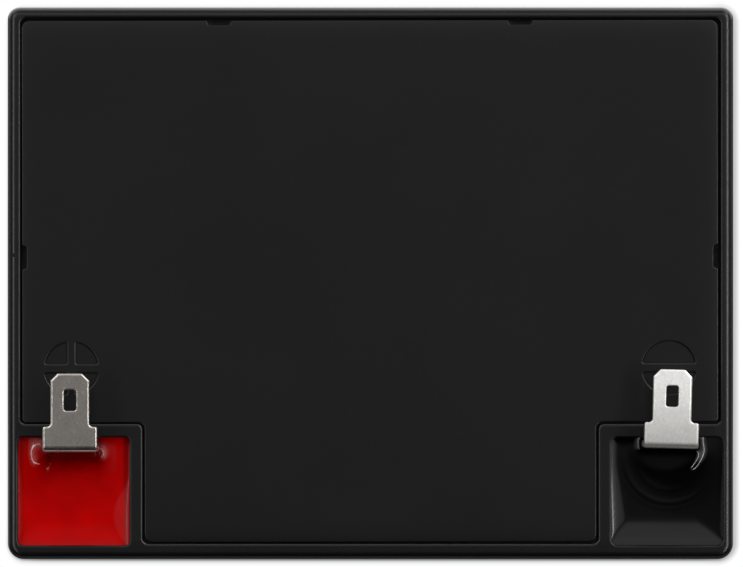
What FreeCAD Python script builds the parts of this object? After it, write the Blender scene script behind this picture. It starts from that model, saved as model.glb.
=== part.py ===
import FreeCAD, Part
import os
import Sketcher
from FreeCAD import Placement, Rotation, Vector

# Sealed lead acid battery, 12 V, six cells, terminals at both front corners.
# Millimetres. Origin at the centre of the base, +Z up, +X to the right, +Y to the rear.

os.makedirs("parts", exist_ok=True)
doc = FreeCAD.newDocument("SealedBattery")
sheet = doc.addObject("Spreadsheet::Sheet", "Dims")


# A size that carries its value and the sheet expression that it comes from.
class Dim:
    def __init__(self, value, text):
        self.value = float(value)
        self.text = text

    @staticmethod
    def of(other):
        return other if isinstance(other, Dim) else Dim(other, "(%r)" % float(other))

    def __add__(self, other):
        other = Dim.of(other)
        return Dim(self.value + other.value, "(%s + %s)" % (self.text, other.text))

    def __radd__(self, other):
        return Dim.of(other) + self

    def __sub__(self, other):
        other = Dim.of(other)
        return Dim(self.value - other.value, "(%s - %s)" % (self.text, other.text))

    def __rsub__(self, other):
        return Dim.of(other) - self

    def __mul__(self, other):
        other = Dim.of(other)
        return Dim(self.value * other.value, "(%s * %s)" % (self.text, other.text))

    def __rmul__(self, other):
        return Dim.of(other) * self

    def __truediv__(self, other):
        other = Dim.of(other)
        return Dim(self.value / other.value, "(%s / %s)" % (self.text, other.text))

    def __neg__(self):
        return Dim(-self.value, "(-1 * %s)" % self.text)


class Sizes:
    pass


d = Sizes()
row = 1
for alias, value, note in [
    # outside
    ("CaseWidth", 90.25, "outside width"),
    ("CaseDepth", 68.65, "outside depth"),
    ("JointZ", 91.0, "height of the joint between container and lid"),
    ("LidTopZ", 101.0, "top of the lid's rim"),
    ("TabTopZ", 107.0, "top of the tabs, the overall height"),
    ("CornerFront", 2.0, "radius of the two front corners"),
    ("CornerRear", 1.5, "radius of the two rear corners"),
    ("BottomEdge", 1.2, "radius round the base"),
    ("TopEdge", 0.97, "radius round the rim"),
    ("SeamEdge", 0.3, "chamfer on both sides of the joint"),
    ("Draft", 0.2, "draft of the container's outside, degrees"),
    # container
    ("Wall", 2.1, "container wall"),
    ("Floor", 2.4, "container floor"),
    ("PartitionX", 1.4, "partition between the two columns of cells"),
    ("PartitionY", 1.2, "partitions between the rows of cells"),
    ("CellCorner", 0.8, "radius of the cell corners"),
    ("LipInset", 1.05, "lip that enters the lid, set in from the outside"),
    ("LipRise", 1.0, "height of the lip and the partitions over the joint"),
    ("PlugGap", 0.25, "clearance round the lid's plugs in the cells"),
    # lid
    ("DeckTopZ", 93.5, "top of the lid's deck and floor of the wells"),
    ("LedgeZ", 99.0, "ledge that the vent cover lies on"),
    ("LedgeWide", 1.2, "width of the ledge"),
    ("RecessX", 43.45, "recess wall, left and right"),
    ("RecessRear", 32.9, "recess wall, rear"),
    ("RecessFront", 32.35, "recess wall, front"),
    ("LobeFront", 17.45, "recess wall behind the wells"),
    ("StemX", 28.25, "recess wall between the wells"),
    ("RecessCorner", 0.7, "corners of the recess"),
    ("StepCorner", 0.8, "inner corners of the T"),
    ("LobeCorner", 0.6, "front corners of the T's arms"),
    ("InnerEdge", 0.32, "radius on the edge of the recess"),
    ("WellInner", 29.95, "well wall next to the cover"),
    ("WellOuter", 43.8, "well wall next to the side"),
    ("WellFront", 32.6, "well wall at the front"),
    ("WellRear", 19.15, "well wall at the rear"),
    ("WellCornerLeft", 0.6, "corners of the left well"),
    ("WellCornerRight", 0.85, "corners of the right well"),
    ("WellEdge", 0.22, "radius on the wells' top edge"),
    ("VentX", 18.5, "vent necks, from the middle"),
    ("NeckRadius", 4.0, "outside of a vent neck"),
    ("NeckBore", 2.5, "bore of a vent neck"),
    ("NeckTopZ", 97.4, "top of the vent necks"),
    ("RibThick", 1.5, "rib under the middle of the cover"),
    ("RibLong", 40.0, "length of that rib"),
    ("ChannelWide", 2.0, "gas channel through the ledge"),
    ("ChannelDeep", 0.8, "depth of that channel"),
    ("GateX", 44.5, "gate mark on the left rim"),
    ("GateY", 3.5, "gate mark on the left rim"),
    ("GateRadius", 0.26, "radius of the gate mark"),
    ("GateTopZ", 101.03, "top of the gate mark"),
    # vent cover
    ("CoverThick", 1.8, "thickness of the vent cover"),
    ("CoverGap", 0.15, "gap round the vent cover"),
    ("CoverShift", -0.05, "cover off the middle of its recess, to the right"),
    ("CoverTurn", 0.1, "cover's turn in its recess about the vertical, degrees"),
    ("CoverCorner", 1.1, "outer corners of the cover"),
    ("CoverEdge", 0.15, "radius round the cover's top"),
    ("NotchX", 18.74, "notches in the rear edge"),
    ("NotchY", 3.27, "notches in the side edges"),
    ("NotchLong", 3.05, "length of a notch"),
    ("NotchDeep", 0.57, "depth of a notch into the edge"),
    ("MarkX", 37.15, "middle of the polarity marks"),
    ("MarkY", 10.55, "middle of the polarity marks"),
    ("MarkRadius", 3.3, "radius of a polarity mark"),
    ("MarkDeep", 0.35, "depth of a polarity mark"),
    ("MarkBar", 1.2, "width of a bar of the marks"),
    ("MarkEdge", 0.22, "radius on the bars and the rim of a mark"),
    ("FootRadius", 2.0, "feet that hold the valve caps down"),
    ("FootDeep", 0.4, "height of those feet"),
    # valve caps
    ("CapRadius", 5.2, "outside of a valve cap"),
    ("CapLowZ", 94.3, "lower edge of a valve cap"),
    ("CapEdge", 0.5, "radius of the cap's top"),
    # plates
    ("PlateWide", 39.6, "width of the plates"),
    ("PlateTopZ", 71.3, "top of the plates"),
    ("PlateP", 2.6, "thickness of a positive plate"),
    ("PlateN", 1.8, "thickness of a negative plate"),
    ("Mat", 0.85, "thickness of the glass mat"),
    ("MatWide", 41.2, "width of the glass mat"),
    ("MatTopZ", 74.3, "top of the glass mat"),
    ("LugWide", 7.0, "width of a plate's lug"),
    ("LugP", 2.0, "thickness of a positive lug"),
    ("LugN", 1.5, "thickness of a negative lug"),
    ("StrapWide", 8.0, "width of a strap"),
    ("StrapLowZ", 79.0, "underside of the straps"),
    ("StrapTopZ", 83.0, "top of the straps"),
    ("StrapOver", 0.6, "strap past the last lug"),
    ("StubThick", 2.0, "upright stub beside a partition"),
    ("StubWide", 7.4, "width of that stub"),
    ("StubTopZ", 88.6, "top of that stub"),
    ("StubGap", 0.05, "stub to partition"),
    ("LinkZ", 85.8, "height of the links through the partitions"),
    ("LinkRadius", 2.15, "radius of a link"),
    ("LinkHole", 2.2, "radius of the hole for a link"),
    # terminals
    ("TabX", 37.1, "middle of a tab"),
    ("TabFrontLeft", 20.9, "front face of the left tab's leg"),
    ("TabFrontRight", 20.4, "front face of the right tab's leg"),
    ("TabTurnRight", -1.5, "right tab's turn about the vertical, degrees"),
    ("TabThick", 0.8, "thickness of the tab"),
    ("TabBase", 6.75, "width of the tab's leg and base"),
    ("TabBlade", 4.8, "width of the blade"),
    ("TabShoulder", 3.2, "shoulder, back from the leg's face"),
    ("TabTip", 9.76, "tip, back from the leg's face"),
    ("BendOut", 0.8, "outer radius of the bends"),
    ("BendIn", 0.2, "inner radius of the bends"),
    ("TipCut", 0.9, "corners cut off the tip"),
    ("ShoulderFillet", 0.45, "radius at the shoulder's root"),
    ("SlotWide", 1.5, "width of the slot in the blade"),
    ("SlotLong", 2.6, "length of the slot"),
    ("SlotBack", 2.0, "slot to tip"),
    ("SlotCorner", 0.3, "corners of the slot"),
    ("Coin", 0.24, "rolled edge round the blade"),
    ("SlotRim", 0.16, "rolled edge round the slot"),
    ("HoleBack", 5.3, "post, forward of the leg's face"),
    ("FootEnd", 8.7, "end of the foot, forward of the leg's face"),
    ("FootRound", 3.3, "corners of the foot"),
    ("PostRightX", 36.961, "right post, worked out from its tab"),
    ("PostRightY", 25.698, "right post, worked out from its tab"),
    ("PostBase", 3.0, "radius of a post on its strap"),
    ("PostShank", 2.5, "radius of a post in the seal"),
    ("PostNeck", 1.9, "radius of a post in the tab's hole"),
    ("PostHead", 2.8, "radius of a post's burned head"),
    ("PostHeadHigh", 1.3, "height of the head over the foot"),
    ("PostHole", 2.8, "radius of the post's hole in the deck"),
    ("SeatRadius", 3.5, "radius of the seal's seat"),
    ("SeatDeep", 1.1, "depth of the seal's seat"),
    ("SealTube", 0.49, "radius of the seal's section"),
    ("PottingTopZ", 99.95, "level of the potting"),
]:
    sheet.set("A%d" % row, note)
    sheet.set("B%d" % row, repr(value))
    sheet.setAlias("B%d" % row, alias)
    setattr(d, alias, Dim(value, "Dims." + alias))
    row += 1
doc.recompute()

half_w = d.CaseWidth / 2
half_d = d.CaseDepth / 2
cell_w = (d.CaseWidth - 2 * d.Wall - d.PartitionX) / 2
cell_d = (d.CaseDepth - 2 * d.Wall - 2 * d.PartitionY) / 3
cell_x = d.PartitionX / 2 + cell_w / 2
cell_y = cell_d + d.PartitionY
pitch = d.PlateP + d.PlateN + 2 * d.Mat
lug_x = d.TabX - cell_x

parts = []


def new_body(label):
    body = doc.addObject("PartDesign::Body", "Body_" + label)
    body.Label = label
    parts.append(body)
    return body


def sketch_on(body, role, name, at=None):
    sk = body.newObject("Sketcher::SketchObject", name)
    plane = [f for f in body.Origin.OriginFeatures if f.Role == role][0]
    sk.AttachmentSupport = [(plane, "")]
    sk.MapMode = "FlatFace"
    if at is not None:
        at = Dim.of(at)
        sk.AttachmentOffset = Placement(Vector(0, 0, at.value), Rotation())
        sk.setExpression("AttachmentOffset.Base.z", at.text)
    return sk


def fix_point(sk, geo, pos, x, y):
    for axis, kind, dim in ((-2, "DistanceX", x), (-1, "DistanceY", y)):
        dim = Dim.of(dim)
        if abs(dim.value) < 1e-9:
            sk.addConstraint(Sketcher.Constraint("PointOnObject", geo, pos, axis))
        else:
            k = sk.addConstraint(
                Sketcher.Constraint(kind, -1, 1, geo, pos, dim.value)
            )
            sk.setExpression("Constraints[%d]" % k, dim.text)


def add_poly(sk, points):
    points = [(Dim.of(x), Dim.of(y)) for x, y in points]
    first = sk.GeometryCount
    n = len(points)
    for i in range(n):
        a, b = points[i], points[(i + 1) % n]
        sk.addGeometry(
            Part.LineSegment(
                Vector(a[0].value, a[1].value, 0), Vector(b[0].value, b[1].value, 0)
            ),
            False,
        )
    for i in range(n):
        sk.addConstraint(
            Sketcher.Constraint("Coincident", first + i, 2, first + (i + 1) % n, 1)
        )
    for i, (x, y) in enumerate(points):
        fix_point(sk, first + i, 1, x, y)


def add_rect(sk, x0, x1, y0, y1):
    add_poly(sk, [(x0, y0), (x1, y0), (x1, y1), (x0, y1)])


def add_circle(sk, x, y, r):
    x, y, r = Dim.of(x), Dim.of(y), Dim.of(r)
    geo = sk.addGeometry(
        Part.Circle(Vector(x.value, y.value, 0), Vector(0, 0, 1), r.value), False
    )
    k = sk.addConstraint(Sketcher.Constraint("Radius", geo, r.value))
    sk.setExpression("Constraints[%d]" % k, r.text)
    fix_point(sk, geo, 3, x, y)


def pad(body, sk, length, name, reversed_=False, middle=False, taper=None):
    f = body.newObject("PartDesign::Pad", name)
    f.Profile = sk
    length = Dim.of(length)
    f.Length = length.value
    f.setExpression("Length", length.text)
    f.Reversed = reversed_
    if middle:
        f.SideType = "Symmetric"
    if taper is not None:
        f.TaperAngle = taper.value
        f.setExpression("TaperAngle", taper.text)
    before = volume_of(f.BaseFeature)
    doc.recompute()
    if not volume_of(f) > before + 1e-6:
        raise RuntimeError(name + " added nothing")
    return f


def pocket(body, sk, length, name, reversed_=False, middle=False):
    f = body.newObject("PartDesign::Pocket", name)
    f.Profile = sk
    length = Dim.of(length)
    f.Length = length.value
    f.setExpression("Length", length.text)
    f.Reversed = reversed_
    if middle:
        f.SideType = "Symmetric"
    before = volume_of(f.BaseFeature)
    doc.recompute()
    if not volume_of(f) < before - 1e-6:
        raise RuntimeError(name + " cut nothing")
    return f


def volume_of(feature):
    if feature is None or feature.Shape.isNull():
        return 0.0
    return feature.Shape.Volume


def find_edges(feature, test):
    names = [
        "Edge%d" % (i + 1) for i, e in enumerate(feature.Shape.Edges) if test(e)
    ]
    if not names:
        raise RuntimeError("no edge found on " + feature.Label)
    return names


def fillet(body, feature, radius, test, name):
    f = body.newObject("PartDesign::Fillet", name)
    f.Base = (feature, find_edges(feature, test))
    radius = Dim.of(radius)
    f.Radius = radius.value
    f.setExpression("Radius", radius.text)
    doc.recompute()
    check(f)
    return f


def chamfer(body, feature, size, test, name):
    f = body.newObject("PartDesign::Chamfer", name)
    f.Base = (feature, find_edges(feature, test))
    size = Dim.of(size)
    f.Size = size.value
    f.setExpression("Size", size.text)
    doc.recompute()
    check(f)
    return f


def check(obj):
    if any(word in obj.State for word in ("Invalid", "Error")):
        raise RuntimeError(obj.Name + " failed: " + ", ".join(obj.State))
    if hasattr(obj, "Shape") and obj.TypeId.startswith(("PartDesign::", "Part::")):
        if obj.Shape.isNull() or not obj.Shape.isValid():
            raise RuntimeError(obj.Name + " has no valid shape")


def place(obj, x=0, y=0, z=0, turn=None):
    x, y, z = Dim.of(x), Dim.of(y), Dim.of(z)
    obj.Placement = Placement(
        Vector(x.value, y.value, z.value),
        Rotation(Vector(0, 0, 1), turn.value if turn is not None else 0),
    )
    obj.setExpression("Placement.Base.x", x.text)
    obj.setExpression("Placement.Base.y", y.text)
    obj.setExpression("Placement.Base.z", z.text)
    if turn is not None:
        obj.setExpression("Placement.Rotation.Angle", turn.text)


# ---------------------------------------------------------------- edge tests


def near(a, b, tol=0.02):
    return abs(a - b) < tol


def upright(e, tol=0.02):
    box = e.BoundBox
    return box.ZLength > 0.2 and box.XLength < tol + 0.4 and box.YLength < tol + 0.4 and len(
        e.Vertexes
    ) == 2


def upright_at(points, tol=0.45):
    def test(e):
        if not upright(e):
            return False
        c = e.CenterOfMass
        return any(abs(c.x - x) < tol and abs(c.y - y) < tol for x, y in points)

    return test


def level(e, z, tol=0.005):
    return abs(e.BoundBox.ZMin - z) < tol and abs(e.BoundBox.ZMax - z) < tol


# The T of the recess, the chamber and the cover, each set in by its own amount.
def tee(inset):
    x1 = d.RecessX - inset
    xs = d.StemX - inset
    rear = d.RecessRear - inset
    lobe = inset - d.LobeFront
    front = inset - d.RecessFront
    return [
        (-x1, lobe),
        (-xs, lobe),
        (-xs, front),
        (xs, front),
        (xs, lobe),
        (x1, lobe),
        (x1, rear),
        (-x1, rear),
    ]


def tee_corners(inset, which):
    pts = [(x.value, y.value) for x, y in tee(Dim.of(inset))]
    return [pts[i] for i in which]


LOBE, STEP, STEM, REAR = (0, 5), (1, 4), (2, 3), (6, 7)

# ----------------------------------------------------------------- container
body = new_body("container")
sk = sketch_on(body, "XY_Plane", "container_outline", d.JointZ)
add_rect(sk, -half_w, half_w, -half_d, half_d)
f = pad(body, sk, d.JointZ, "container_block", reversed_=True, taper=-d.Draft)
w, h = half_w.value, half_d.value
f = fillet(
    body, f, d.CornerFront, upright_at([(-w, -h), (w, -h)]), "container_front_corners"
)
f = fillet(
    body, f, d.CornerRear, upright_at([(-w, h), (w, h)]), "container_rear_corners"
)
f = fillet(body, f, d.BottomEdge, lambda e: level(e, 0), "container_bottom_edge")
f = chamfer(
    body, f, d.SeamEdge, lambda e: level(e, d.JointZ.value), "container_seam_edge"
)
# a lip inside the seam that enters the lid
sk = sketch_on(body, "XY_Plane", "container_lip_outline", d.JointZ)
add_rect(
    sk,
    d.LipInset - half_w,
    half_w - d.LipInset,
    d.LipInset - half_d,
    half_d - d.LipInset,
)
f = pad(body, sk, d.LipRise, "container_lip")
lip = [
    (sx * (w - d.LipInset.value), sy * (h - d.LipInset.value))
    for sx in (-1, 1)
    for sy in (-1, 1)
]
f = fillet(
    body,
    f,
    0.8,
    lambda e: upright_at(lip, 0.05)(e) and e.BoundBox.ZMin > d.JointZ.value - 0.01,
    "container_lip_corners",
)
# six cells, open at the top
sk = sketch_on(body, "XY_Plane", "container_cells", d.JointZ + d.LipRise)
for sx in (-1, 1):
    for r in (-1, 0, 1):
        add_rect(
            sk,
            sx * cell_x - cell_w / 2,
            sx * cell_x + cell_w / 2,
            r * cell_y - cell_d / 2,
            r * cell_y + cell_d / 2,
        )
f = pocket(body, sk, d.JointZ + d.LipRise - d.Floor, "container_cell_space")
cells = [
    (
        sx * cell_x.value + a * cell_w.value / 2,
        r * cell_y.value + b * cell_d.value / 2,
    )
    for sx in (-1, 1)
    for r in (-1, 0, 1)
    for a in (-1, 1)
    for b in (-1, 1)
]
f = fillet(
    body,
    f,
    d.CellCorner,
    lambda e: upright_at(cells, 0.03)(e) and e.BoundBox.ZLength > 50,
    "container_cell_corners",
)
# holes for the links through the partitions
sk = sketch_on(body, "XZ_Plane", "container_front_link_holes", cell_y / 2 + 1.5)
add_circle(sk, lug_x - cell_x, d.LinkZ, d.LinkHole)
add_circle(sk, cell_x - lug_x, d.LinkZ, d.LinkHole)
f = pocket(body, sk, 3, "container_front_link_bores")
sk = sketch_on(body, "XZ_Plane", "container_rear_link_holes", 1.5 - cell_y / 2)
add_circle(sk, -d.TabX, d.LinkZ, d.LinkHole)
add_circle(sk, d.TabX, d.LinkZ, d.LinkHole)
f = pocket(body, sk, 3, "container_rear_link_bores")
sk = sketch_on(body, "YZ_Plane", "container_middle_link_hole", 1.5)
add_circle(sk, cell_y, d.LinkZ, d.LinkHole)
f = pocket(body, sk, 3, "container_middle_link_bore")

# ----------------------------------------------------------------------- lid
body = new_body("lid")
top = d.LidTopZ.value
sk = sketch_on(body, "XY_Plane", "lid_outline", d.JointZ)
add_rect(sk, -half_w, half_w, -half_d, half_d)
f = pad(body, sk, d.LidTopZ - d.JointZ, "lid_block")
f = fillet(body, f, d.CornerFront, upright_at([(-w, -h), (w, -h)]), "lid_front_corners")
f = fillet(body, f, d.CornerRear, upright_at([(-w, h), (w, h)]), "lid_rear_corners")
f = fillet(body, f, d.TopEdge, lambda e: level(e, top), "lid_top_edge")
f = chamfer(body, f, d.SeamEdge, lambda e: level(e, d.JointZ.value), "lid_seam_edge")
# recess for the cover, and the gas chamber under it
sk = sketch_on(body, "XY_Plane", "lid_recess_outline", d.LidTopZ)
add_poly(sk, tee(Dim(0, "0")))
f = pocket(body, sk, d.LidTopZ - d.LedgeZ, "lid_recess")
for which, radius, name in (
    (REAR + STEM, d.RecessCorner, "lid_recess_corners"),
    (STEP, d.StepCorner, "lid_recess_steps"),
    (LOBE, d.LobeCorner, "lid_recess_arms"),
):
    f = fillet(body, f, radius, upright_at(tee_corners(0, which), 0.05), name)
sk = sketch_on(body, "XY_Plane", "lid_chamber_outline", d.LedgeZ)
add_poly(sk, tee(d.LedgeWide))
f = pocket(body, sk, d.LedgeZ - d.DeckTopZ, "lid_chamber")
f = fillet(
    body,
    f,
    1.0,
    upright_at(tee_corners(d.LedgeWide, REAR + STEM + LOBE + STEP), 0.05),
    "lid_chamber_corners",
)
# terminal wells
for sx, radius, name in (
    (-1, d.WellCornerLeft, "left"),
    (1, d.WellCornerRight, "right"),
):
    sk = sketch_on(body, "XY_Plane", "lid_%s_well_outline" % name, d.LidTopZ)
    add_rect(sk, sx * d.WellInner, sx * d.WellOuter, -d.WellFront, -d.WellRear)
    f = pocket(body, sk, d.LidTopZ - d.DeckTopZ, "lid_%s_well" % name)
    well = [
        (sx * x.value, -y.value)
        for x in (d.WellInner, d.WellOuter)
        for y in (d.WellFront, d.WellRear)
    ]
    f = fillet(body, f, radius, upright_at(well, 0.05), "lid_%s_well_corners" % name)
# fine radii on the upper edges of the recess and the wells
f = fillet(
    body,
    f,
    d.InnerEdge,
    lambda e: level(e, top)
    and (
        near(abs(e.CenterOfMass.x), d.RecessX.value, 0.3)
        and e.CenterOfMass.y > -d.LobeFront.value - 0.3
        or near(e.CenterOfMass.y, d.RecessRear.value, 0.3)
        or near(e.CenterOfMass.y, -d.RecessFront.value, 0.2)
        and abs(e.CenterOfMass.x) < d.StemX.value + 0.3
        or near(abs(e.CenterOfMass.x), d.StemX.value, 0.3)
        or near(e.CenterOfMass.y, -d.LobeFront.value, 0.3)
    ),
    "lid_recess_edge",
)
f = fillet(
    body,
    f,
    d.WellEdge,
    lambda e: level(e, top)
    and d.WellInner.value - 0.3 < abs(e.CenterOfMass.x) < d.WellOuter.value + 0.3
    and -d.WellFront.value - 0.3 < e.CenterOfMass.y < -d.WellRear.value + 0.3,
    "lid_well_edges",
)
# vent necks, one over each cell
sk = sketch_on(body, "XY_Plane", "lid_necks_outline", d.DeckTopZ)
for sx in (-1, 1):
    for r in (-1, 0, 1):
        add_circle(sk, sx * d.VentX, r * cell_y, d.NeckRadius)
f = pad(body, sk, d.NeckTopZ - d.DeckTopZ, "lid_necks")
sk = sketch_on(body, "XY_Plane", "lid_necks_bores_outline", d.NeckTopZ)
for sx in (-1, 1):
    for r in (-1, 0, 1):
        add_circle(sk, sx * d.VentX, r * cell_y, d.NeckBore)
f = pocket(body, sk, d.NeckTopZ - d.JointZ + 1, "lid_neck_bores")
# rib that carries the middle of the cover
sk = sketch_on(body, "XY_Plane", "lid_rib_outline", d.DeckTopZ)
add_rect(sk, -d.RibThick / 2, d.RibThick / 2, -d.RibLong / 2, d.RibLong / 2)
f = pad(body, sk, d.LedgeZ - d.DeckTopZ, "lid_rib")
# post holes, with a seat for the seal
for x, y, name in (
    (-d.TabX, -d.TabFrontLeft - d.HoleBack, "left"),
    (d.PostRightX, -d.PostRightY, "right"),
):
    sk = sketch_on(body, "XY_Plane", "lid_%s_seat_outline" % name, d.DeckTopZ)
    add_circle(sk, x, y, d.SeatRadius)
    f = pocket(body, sk, d.SeatDeep, "lid_%s_seat" % name)
    sk = sketch_on(body, "XY_Plane", "lid_%s_post_hole_outline" % name, d.DeckTopZ)
    add_circle(sk, x, y, d.PostHole)
    f = pocket(body, sk, d.DeckTopZ - d.JointZ + 1, "lid_%s_post_hole" % name)
# gas channels through the ledge, one at each notch of the cover
sk = sketch_on(body, "XY_Plane", "lid_channels_outline", d.LedgeZ)
cw = d.ChannelWide / 2
for sx in (-1, 1):
    add_rect(
        sk,
        sx * (d.RecessX - d.LedgeWide - 0.3),
        sx * (d.RecessX - 0.05),
        d.NotchY - cw,
        d.NotchY + cw,
    )
    add_rect(
        sk,
        sx * d.NotchX - cw,
        sx * d.NotchX + cw,
        d.RecessRear - d.LedgeWide - 0.3,
        d.RecessRear - 0.05,
    )
f = pocket(body, sk, d.ChannelDeep, "lid_channels")
# groove in the underside for the container's lip and partitions
sk = sketch_on(body, "XY_Plane", "lid_groove_outline", d.JointZ)
add_rect(
    sk,
    d.LipInset - half_w,
    half_w - d.LipInset,
    d.LipInset - half_d,
    half_d - d.LipInset,
)
for sx in (-1, 1):
    for r in (-1, 0, 1):
        add_rect(
            sk,
            sx * cell_x - cell_w / 2 + d.PlugGap,
            sx * cell_x + cell_w / 2 - d.PlugGap,
            r * cell_y - cell_d / 2 + d.PlugGap,
            r * cell_y + cell_d / 2 - d.PlugGap,
        )
f = pocket(body, sk, d.LipRise, "lid_groove", reversed_=True)
# gate mark left by moulding on the left rim
sk = sketch_on(body, "XY_Plane", "lid_gate_outline", d.LidTopZ - 1.2)
add_circle(sk, -d.GateX, d.GateY, d.GateRadius)
f = pad(body, sk, d.GateTopZ - d.LidTopZ + 1.2, "lid_gate_mark")

# ---------------------------------------------------------------- vent cover
body = new_body("vent_cover")
cover_top = (d.LedgeZ + d.CoverThick).value
gap = d.CoverGap
sk = sketch_on(body, "XY_Plane", "cover_outline", d.LedgeZ)
add_poly(sk, tee(gap))
f = pad(body, sk, d.CoverThick, "cover_plate")
for which, radius, name in (
    (REAR + STEM, d.CoverCorner, "cover_corners"),
    (STEP, d.StepCorner, "cover_steps"),
    (LOBE, d.LobeCorner, "cover_arms"),
):
    f = fillet(body, f, radius, upright_at(tee_corners(gap, which), 0.05), name)
# notches that let gas out, a little wider at the mouth
sk = sketch_on(body, "XY_Plane", "cover_notches_outline", d.LedgeZ + d.CoverThick)
a = d.NotchLong / 2
edge_x = d.RecessX - gap
edge_y = d.RecessRear - gap
for sx in (-1, 1):
    add_poly(
        sk,
        [
            (sx * (edge_x + 0.5), d.NotchY - a),
            (sx * (edge_x + 0.5), d.NotchY + a),
            (sx * edge_x, d.NotchY + a),
            (sx * (edge_x - d.NotchDeep), d.NotchY + a - 0.22),
            (sx * (edge_x - d.NotchDeep), d.NotchY - a + 0.22),
            (sx * edge_x, d.NotchY - a),
        ],
    )
    add_poly(
        sk,
        [
            (sx * d.NotchX - a, edge_y + 0.5),
            (sx * d.NotchX - a, edge_y),
            (sx * d.NotchX - a + 0.22, edge_y - d.NotchDeep),
            (sx * d.NotchX + a - 0.22, edge_y - d.NotchDeep),
            (sx * d.NotchX + a, edge_y),
            (sx * d.NotchX + a, edge_y + 0.5),
        ],
    )
f = pocket(body, sk, d.CoverThick, "cover_notches")
notch = [
    (sx * (edge_x.value - d.NotchDeep.value), d.NotchY.value + s * (a.value - 0.22))
    for sx in (-1, 1)
    for s in (-1, 1)
] + [
    (sx * d.NotchX.value + s * (a.value - 0.22), edge_y.value - d.NotchDeep.value)
    for sx in (-1, 1)
    for s in (-1, 1)
]
f = fillet(body, f, 0.2, upright_at(notch, 0.03), "cover_notch_corners")
f = fillet(body, f, d.CoverEdge, lambda e: level(e, cover_top), "cover_top_edge")
# polarity marks: a sunk disc with the bars of the sign left level with the cover
for sx, name in ((-1, "plus"), (1, "minus")):
    x, y, r = sx * d.MarkX, -d.MarkY, d.MarkRadius
    sk = sketch_on(body, "XY_Plane", "cover_%s_disc" % name, d.LedgeZ + d.CoverThick)
    add_circle(sk, x, y, r)
    f = pocket(body, sk, d.MarkDeep, "cover_%s_sink" % name)
    sk = sketch_on(
        body,
        "XY_Plane",
        "cover_%s_bars" % name,
        d.LedgeZ + d.CoverThick - d.MarkDeep,
    )
    b, c = d.MarkBar / 2, r + 0.25
    if sx < 0:
        add_poly(
            sk,
            [
                (x - c, y - b),
                (x - b, y - b),
                (x - b, y - c),
                (x + b, y - c),
                (x + b, y - b),
                (x + c, y - b),
                (x + c, y + b),
                (x + b, y + b),
                (x + b, y + c),
                (x - b, y + c),
                (x - b, y + b),
                (x - c, y + b),
            ],
        )
    else:
        add_rect(sk, x - c, x + c, y - b, y + b)
    f = pad(body, sk, d.MarkDeep, "cover_%s_sign" % name)
    cx, cy = x.value, y.value
    f = fillet(
        body,
        f,
        0.15,
        lambda e: upright(e)
        and e.CenterOfMass.z > cover_top - d.MarkDeep.value
        and (e.CenterOfMass - Vector(cx, cy, e.CenterOfMass.z)).Length
        < d.MarkRadius.value + 0.1,
        "cover_%s_corners" % name,
    )
    f = fillet(
        body,
        f,
        d.MarkEdge,
        lambda e: level(e, cover_top)
        and (e.CenterOfMass - Vector(cx, cy, cover_top)).Length < d.MarkRadius.value + 0.1,
        "cover_%s_edges" % name,
    )
# feet that hold the valve caps down
sk = sketch_on(body, "XY_Plane", "cover_feet_outline", d.LedgeZ)
for sx in (-1, 1):
    for r in (-1, 0, 1):
        add_circle(sk, sx * d.VentX, r * cell_y, d.FootRadius)
f = pad(body, sk, d.FootDeep, "cover_feet", reversed_=True)
# it lies in the recess a little to the left and turned
place(body, d.CoverShift, 0, 0, d.CoverTurn)

# ------------------------------------------------------ valve caps, one a cell
cap_top = d.LedgeZ - d.FootDeep
# cells in the order of the current: column, row
order = [(-1, -1), (-1, 0), (-1, 1), (1, 1), (1, 0), (1, -1)]
for n, (sx, r) in enumerate(order, 1):
    body = new_body("vent_valve_%d" % n)
    sk = sketch_on(body, "XY_Plane", "valve_%d_outline" % n)
    add_circle(sk, 0, 0, d.CapRadius)
    f = pad(body, sk, cap_top - d.CapLowZ, "valve_%d_block" % n)
    sk = sketch_on(body, "XY_Plane", "valve_%d_inside" % n)
    add_circle(sk, 0, 0, d.NeckRadius + 0.05)
    f = pocket(
        body, sk, d.NeckTopZ - d.CapLowZ, "valve_%d_bore" % n, reversed_=True
    )
    high = (cap_top - d.CapLowZ).value
    f = fillet(body, f, d.CapEdge, lambda e: level(e, high), "valve_%d_edge" % n)
    place(body, sx * d.VentX, r * cell_y, d.CapLowZ)


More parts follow.
